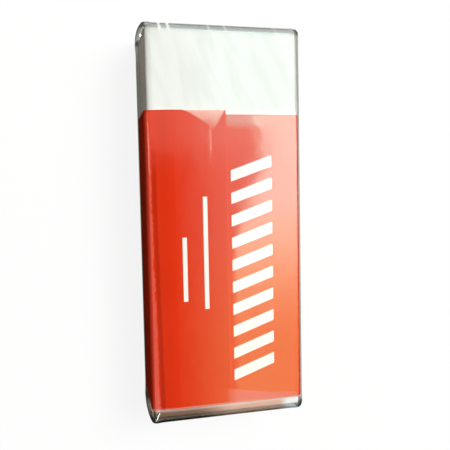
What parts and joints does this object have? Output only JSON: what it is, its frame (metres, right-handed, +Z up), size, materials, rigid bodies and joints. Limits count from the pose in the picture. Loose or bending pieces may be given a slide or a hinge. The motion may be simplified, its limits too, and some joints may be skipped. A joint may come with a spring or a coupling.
{
  "type": "rubber eraser",
  "caption": "Rectangular white rubber eraser in a wound red-orange card sleeve, sealed in clear overwrap film with folded ends.",
  "frame": {"origin": "middle of the underside of the film, which is the lowest face", "axes": "+X along the length from the bare end to the covered end, +Y across the width, +Z up out of the seam side of the sleeve"},
  "size_m": [0.059, 0.024, 0.012],
  "materials": {
    "rubber": "soft matte white, faintly mottled",
    "printed_card": "red-orange print under a thin gloss, white raw card at the cut edges",
    "film": "clear glossy film with fine creases"
  },
  "bodies": {
    "root": {"eraser_block": "rubber", "card_sleeve": "printed_card", "clear_film": "film"}
  },
  "joints": []
}
